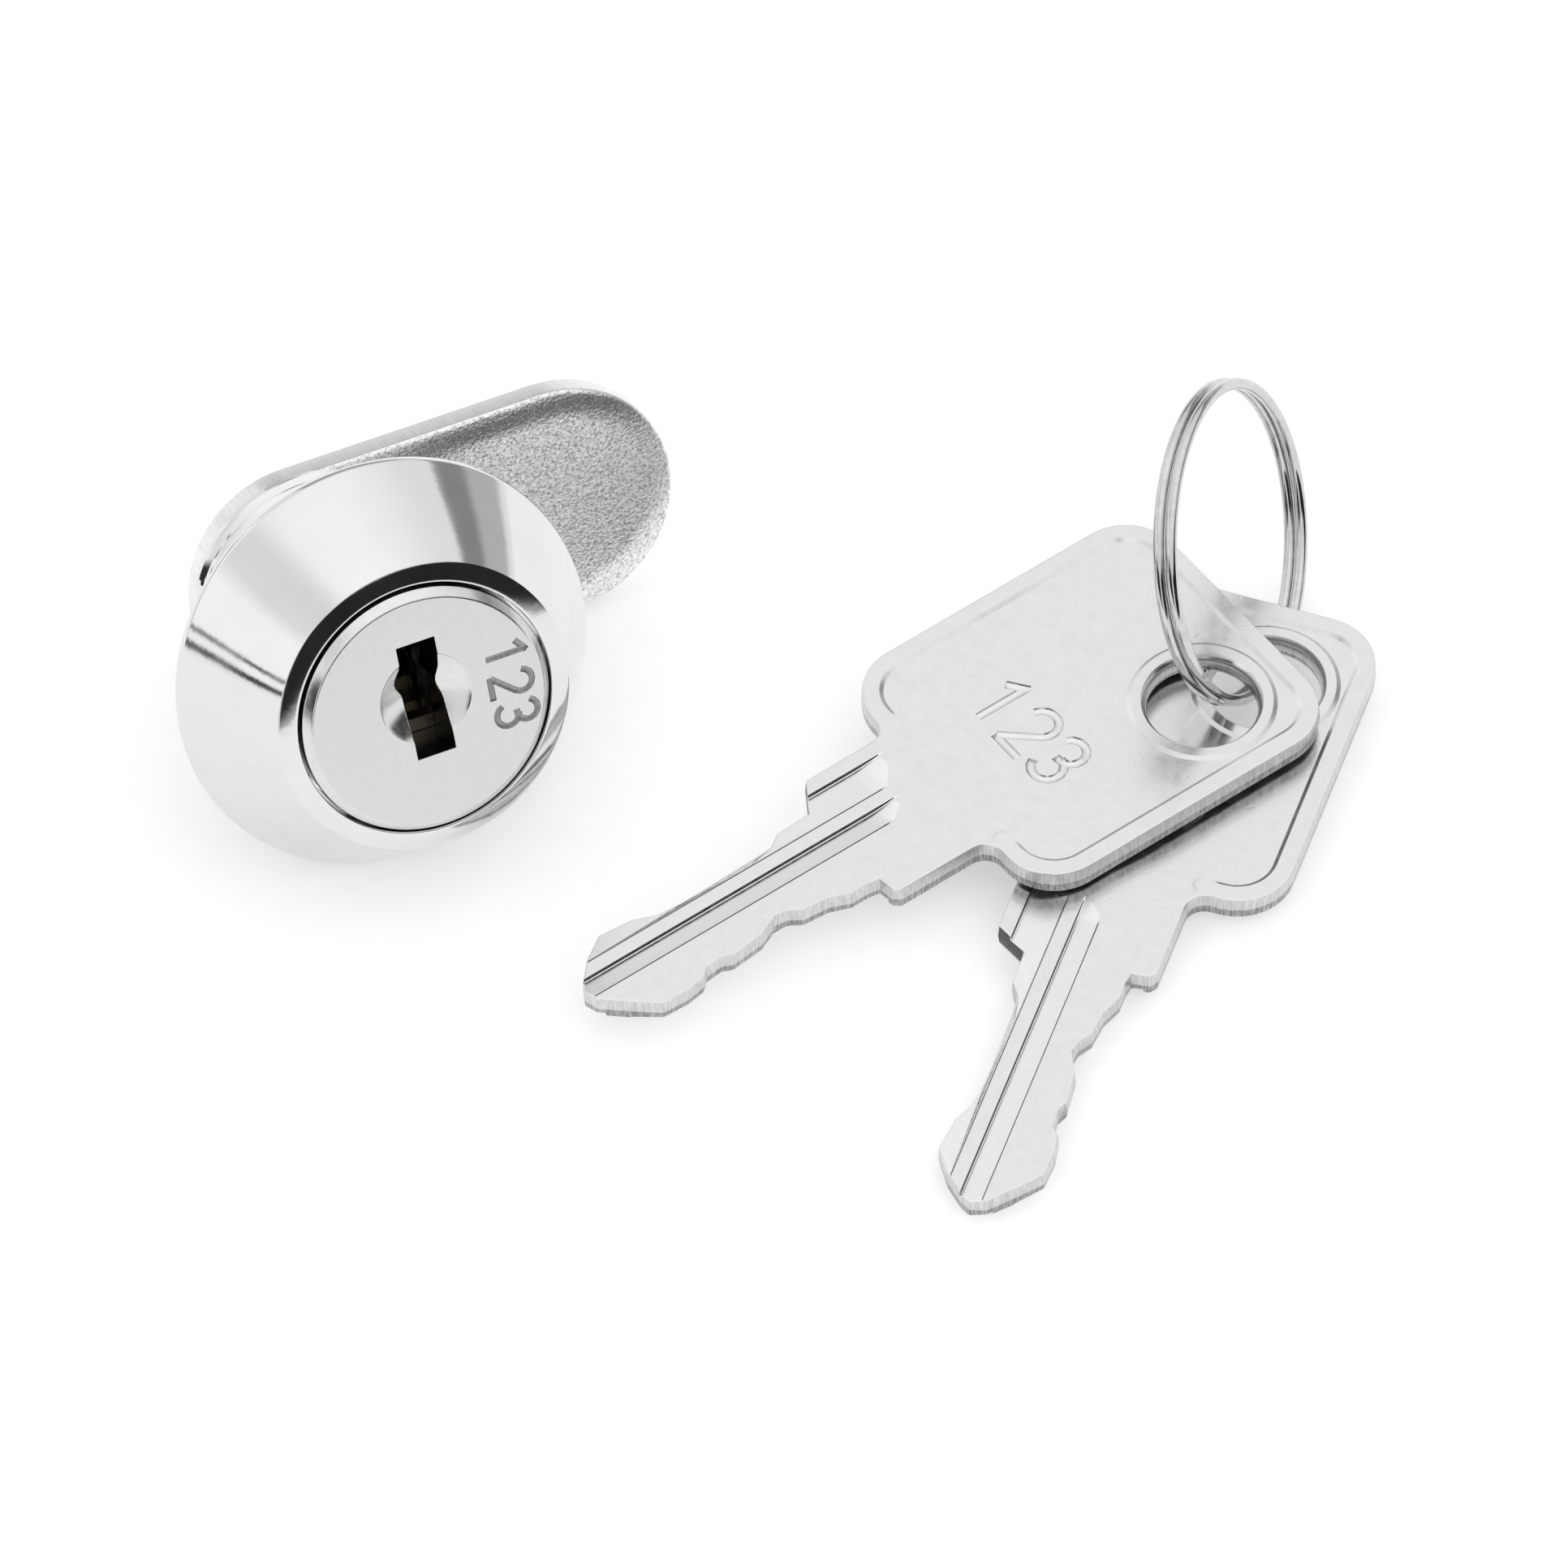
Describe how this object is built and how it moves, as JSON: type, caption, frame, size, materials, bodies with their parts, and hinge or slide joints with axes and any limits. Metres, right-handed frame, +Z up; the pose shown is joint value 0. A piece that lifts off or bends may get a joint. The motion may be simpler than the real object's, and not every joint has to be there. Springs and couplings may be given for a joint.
{
  "type": "cam lock",
  "caption": "Wafer cam lock with a conical chrome bezel and a flat round-ended cam, lying beside its flat keys on a split ring.",
  "frame": {"origin": "middle of the whole part's footprint, on the floor that it lies on", "axes": "+Z up; +X the way the cam points, level; the keyway faces -Y and up, because the lock lies on its bezel rim and its cam"},
  "size_m": [0.0688, 0.059, 0.0232],
  "materials": {
    "bezel_chrome": "bright chrome plate",
    "plug_metal": "satin nickel",
    "blasted_steel": "bead-blasted zinc plate, fine grain",
    "key_nickel": "soft bright nickel plate",
    "wafer_brass": "stamped, as cut",
    "zinc_plate": "clear zinc plate",
    "spring_steel": "drawn wire, polished"
  },
  "bodies": {
    "housing": {"housing": "bezel_chrome", "mounting_nut": "zinc_plate"},
    "plug": {"plug": "plug_metal", "stop_washer": "zinc_plate", "cam": "blasted_steel", "cam_washer": "zinc_plate", "cam_nut": "zinc_plate", "retainer_spring": "spring_steel", "wafer_spring_1": "spring_steel", "wafer_spring_2": "spring_steel", "wafer_spring_3": "spring_steel", "wafer_spring_4": "spring_steel", "wafer_spring_5": "spring_steel", "wafer_spring_6": "spring_steel"},
    "wafer_1": {"wafer_1": "wafer_brass"},
    "wafer_2": {"wafer_2": "wafer_brass"},
    "wafer_3": {"wafer_3": "wafer_brass"},
    "wafer_4": {"wafer_4": "wafer_brass"},
    "wafer_5": {"wafer_5": "wafer_brass"},
    "wafer_6": {"wafer_6": "wafer_brass"},
    "retainer": {"retainer": "wafer_brass"},
    "split_ring": {"split_ring": "spring_steel"},
    "key_1": {"key_1": "key_nickel"},
    "key_2": {"key_2": "key_nickel"}
  },
  "joints": [
    {"name": "plug_turn", "type": "hinge", "parent": "housing", "child": "plug", "pos_m": [-0.02185, 0.01351, 0.01148], "axis": [0, -0.9188, 0.3948], "range_deg": [0, 90]},
    {"name": "wafer_1_slide", "type": "slide", "parent": "plug", "child": "wafer_1", "axis": [0, -0.3948, -0.9188], "range_m": [-0.0009, 0], "stiffness_N_per_m": 60, "deforming": ["wafer_spring_1"]},
    {"name": "wafer_2_slide", "type": "slide", "parent": "plug", "child": "wafer_2", "axis": [0, 0.3948, 0.9188], "range_m": [-0.0009, 0], "stiffness_N_per_m": 60, "deforming": ["wafer_spring_2"]},
    {"name": "wafer_3_slide", "type": "slide", "parent": "plug", "child": "wafer_3", "axis": [0, -0.3948, -0.9188], "range_m": [-0.0009, 0], "stiffness_N_per_m": 60, "deforming": ["wafer_spring_3"]},
    {"name": "wafer_4_slide", "type": "slide", "parent": "plug", "child": "wafer_4", "axis": [0, 0.3948, 0.9188], "range_m": [-0.0009, 0], "stiffness_N_per_m": 60, "deforming": ["wafer_spring_4"]},
    {"name": "wafer_5_slide", "type": "slide", "parent": "plug", "child": "wafer_5", "axis": [0, -0.3948, -0.9188], "range_m": [-0.0009, 0], "stiffness_N_per_m": 60, "deforming": ["wafer_spring_5"]},
    {"name": "wafer_6_slide", "type": "slide", "parent": "plug", "child": "wafer_6", "axis": [0, 0.3948, 0.9188], "range_m": [-0.0009, 0], "stiffness_N_per_m": 60, "deforming": ["wafer_spring_6"]},
    {"name": "retainer_slide", "type": "slide", "parent": "plug", "child": "retainer", "axis": [0.866, 0.1974, 0.4594], "range_m": [-0.0006, 0], "stiffness_N_per_m": 60, "deforming": ["retainer_spring"]},
    {"name": "key_set_lift", "type": "slide", "parent": "housing", "child": "split_ring", "axis": [0, 0, 1], "range_m": [0, 0.03]},
    {"name": "key_1_swivel", "type": "hinge", "parent": "split_ring", "child": "key_1", "pos_m": [0.02237, -0.00331, 0.00285], "axis": [-0.0185, -0.0195, 0.9996], "range_deg": [-3, 34]},
    {"name": "key_2_swivel", "type": "hinge", "parent": "split_ring", "child": "key_2", "pos_m": [0.02694, -0.00231, 0.00111], "axis": [-0.0185, -0.0195, 0.9996], "range_deg": [-20, 10]}
  ]
}
